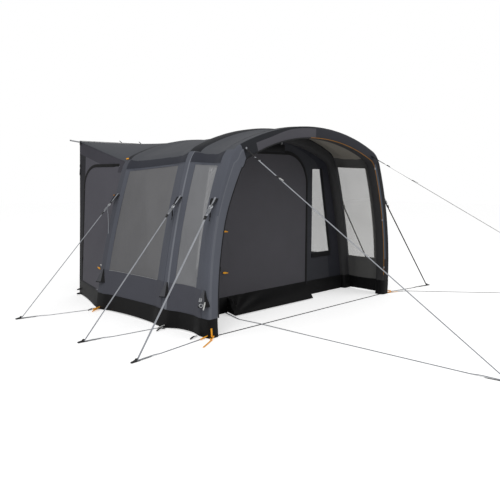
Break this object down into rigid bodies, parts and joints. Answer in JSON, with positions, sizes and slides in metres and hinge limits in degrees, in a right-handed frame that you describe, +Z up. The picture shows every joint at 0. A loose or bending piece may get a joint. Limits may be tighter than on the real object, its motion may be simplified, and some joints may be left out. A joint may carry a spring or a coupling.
{
  "type": "inflatable driveaway awning",
  "caption": "Inflatable fabric awning with air beam arches, a recessed porch, a main room with a zipped door, and a tunnel that joins it to a parked vehicle.",
  "frame": {"origin": "middle of the awning's footprint on the ground, without its guys and pegs", "axes": "+X across the arches, to the right of someone who faces the vehicle from the porch; +Y from the porch towards the vehicle; +Z up"},
  "size_m": [6.1427, 5.5416, 2.125],
  "materials": {
    "outer_fabric": "matt woven polyester, charcoal",
    "roof_fabric": "matt woven polyester, grey",
    "inner_fabric": "matt woven polyester, dark grey",
    "mud_wall_fabric": "coated woven polyester, black",
    "window_film": "tinted clear film",
    "bladder": "smooth polyurethane",
    "webbing": "woven webbing, grey",
    "beading": "extruded, satin",
    "zip_tape": "coiled teeth on woven tape, black",
    "cap_plastic": "moulded, satin",
    "slider_metal": "black lacquer",
    "peg_plastic": "black lacquer on steel"
  },
  "bodies": {
    "awning": {"air_beam_front": "bladder", "air_beam_middle": "bladder", "air_beam_rear": "bladder", "beam_sleeve_front": "outer_fabric", "beam_sleeve_middle": "outer_fabric", "beam_sleeve_rear": "outer_fabric", "front_skirt_left": "mud_wall_fabric", "front_skirt_right": "mud_wall_fabric", "front_spacer_strap": "webbing", "front_wall": "inner_fabric", "guy_front_left": "webbing", "guy_front_right": "webbing", "guy_left_front": "webbing", "guy_left_middle": "webbing", "guy_left_rear": "webbing", "guy_right_front": "webbing", "guy_right_middle": "webbing", "guy_right_rear": "webbing", "peg_front_left": "peg_plastic", "peg_front_right": "peg_plastic", "peg_left_front": "peg_plastic", "peg_left_middle": "peg_plastic", "peg_left_rear": "peg_plastic", "peg_right_front": "peg_plastic", "peg_right_middle": "peg_plastic", "peg_right_rear": "peg_plastic", "rail_beading": "beading", "rear_door_roll": "inner_fabric", "rear_wall": "inner_fabric", "roof_porch": "roof_fabric", "roof_room": "roof_fabric", "roof_tunnel": "roof_fabric", "skirt_left": "mud_wall_fabric", "skirt_right": "mud_wall_fabric", "tunnel_zip_left": "zip_tape", "tunnel_zip_right": "zip_tape", "wall_porch_left": "outer_fabric", "wall_porch_right": "outer_fabric", "wall_room_left": "outer_fabric", "wall_room_right": "outer_fabric", "wall_tunnel_left": "outer_fabric", "wall_tunnel_right": "outer_fabric", "window_front_left": "window_film", "window_front_right": "window_film", "window_porch_left": "window_film", "window_porch_right": "window_film", "window_room_left": "window_film", "window_room_right": "window_film"},
    "front_door": {"front_door": "inner_fabric"},
    "front_zip_slider": {"front_zip_slider": "slider_metal"},
    "tunnel_door_left": {"tunnel_door_left": "outer_fabric"},
    "tunnel_zip_slider_left": {"tunnel_zip_slider_left": "slider_metal"},
    "tunnel_door_right": {"tunnel_door_right": "outer_fabric"},
    "tunnel_zip_slider_right": {"tunnel_zip_slider_right": "slider_metal"},
    "valve_flap_front": {"valve_flap_front": "outer_fabric"},
    "valve_cap_front": {"valve_cap_front": "cap_plastic"},
    "valve_flap_middle": {"valve_flap_middle": "outer_fabric"},
    "valve_cap_middle": {"valve_cap_middle": "cap_plastic"},
    "valve_flap_rear": {"valve_flap_rear": "outer_fabric"},
    "valve_cap_rear": {"valve_cap_rear": "cap_plastic"}
  },
  "joints": [
    {"name": "front_door_swing", "type": "hinge", "parent": "awning", "child": "front_door", "pos_m": [-0.7, -0.772, 0], "axis": [0, 0, -1], "range_deg": [0, 100]},
    {"name": "front_zip_slide", "type": "slide", "parent": "awning", "child": "front_zip_slider", "axis": [0, 0, 1], "range_m": [-0.63, 0.68]},
    {"name": "tunnel_door_left_swing", "type": "hinge", "parent": "awning", "child": "tunnel_door_left", "pos_m": [-1.60257, 0.6295, 0], "axis": [0.2281, 0, 0.9736], "range_deg": [0, 60]},
    {"name": "tunnel_zip_left_slide", "type": "slide", "parent": "awning", "child": "tunnel_zip_slider_left", "axis": [0.0634, 0, 0.998], "range_m": [-0.2, 0.88]},
    {"name": "tunnel_door_right_swing", "type": "hinge", "parent": "awning", "child": "tunnel_door_right", "pos_m": [1.60257, 0.6295, 0], "axis": [0.2281, 0, -0.9736], "range_deg": [0, 60]},
    {"name": "tunnel_zip_right_slide", "type": "slide", "parent": "awning", "child": "tunnel_zip_slider_right", "axis": [-0.0634, 0, 0.998], "range_m": [-0.2, 0.88]},
    {"name": "valve_flap_front_lift", "type": "hinge", "parent": "awning", "child": "valve_flap_front", "pos_m": [-1.60459, -1.4055, 0.47504], "axis": [0, 1, 0], "range_deg": [0, 100]},
    {"name": "valve_cap_front_turn", "type": "hinge", "parent": "awning", "child": "valve_cap_front", "pos_m": [-1.6052, -1.4055, 0.385], "axis": [-0.9997, 0, 0.0245], "range_deg": [0, 360]},
    {"name": "valve_flap_middle_lift", "type": "hinge", "parent": "awning", "child": "valve_flap_middle", "pos_m": [-1.5707, -0.7705, 0.47526], "axis": [0, 1, 0], "range_deg": [0, 100]},
    {"name": "valve_cap_middle_turn", "type": "hinge", "parent": "awning", "child": "valve_cap_middle", "pos_m": [-1.58371, -0.7705, 0.385], "axis": [-0.9871, 0, 0.1601], "range_deg": [0, 360]},
    {"name": "valve_flap_rear_lift", "type": "hinge", "parent": "awning", "child": "valve_flap_rear", "pos_m": [-1.55373, 0.4795, 0.47531], "axis": [0, 1, 0], "range_deg": [0, 100]},
    {"name": "valve_cap_rear_turn", "type": "hinge", "parent": "awning", "child": "valve_cap_rear", "pos_m": [-1.56997, 0.4795, 0.385], "axis": [-0.981, 0, 0.1941], "range_deg": [0, 360]}
  ]
}
